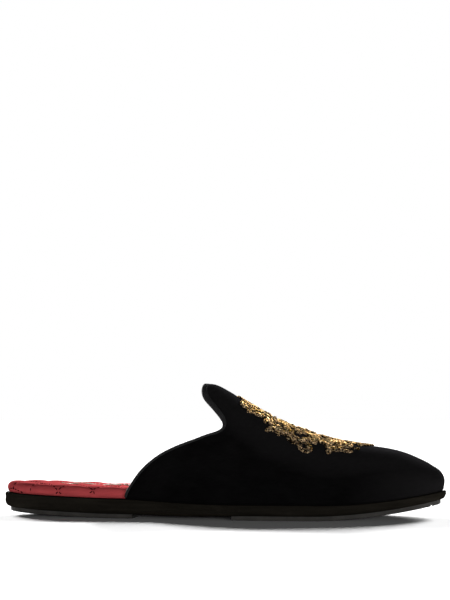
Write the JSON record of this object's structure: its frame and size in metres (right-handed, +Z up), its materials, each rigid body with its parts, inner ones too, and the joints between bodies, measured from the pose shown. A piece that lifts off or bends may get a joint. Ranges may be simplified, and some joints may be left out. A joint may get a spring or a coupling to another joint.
{
  "type": "backless slipper",
  "caption": "Backless velvet slipper (babouche or mule) with a high tongue, a bound topline, a quilted satin insole and a thin sole with rubber treads, for the right foot.",
  "frame": {"origin": "middle of the bounding box, on the floor plane that both treads rest on", "axes": "+X runs from the heel to the toe, +Y to the inner (medial) side of the right foot, +Z up"},
  "size_m": [0.295, 0.0998, 0.0886],
  "materials": {
    "sole_leather": "dyed edge, satin",
    "tread_rubber": "matt, finely ribbed",
    "insole_satin": "quilted satin",
    "upper_velvet": "cut pile velvet",
    "binding_ribbon": "fine ribbed ribbon"
  },
  "bodies": {
    "root": {"outsole": "sole_leather", "heel_pad": "tread_rubber", "forefoot_pad": "tread_rubber", "insole": "insole_satin", "upper": "upper_velvet", "topline_binding": "binding_ribbon"}
  },
  "joints": []
}
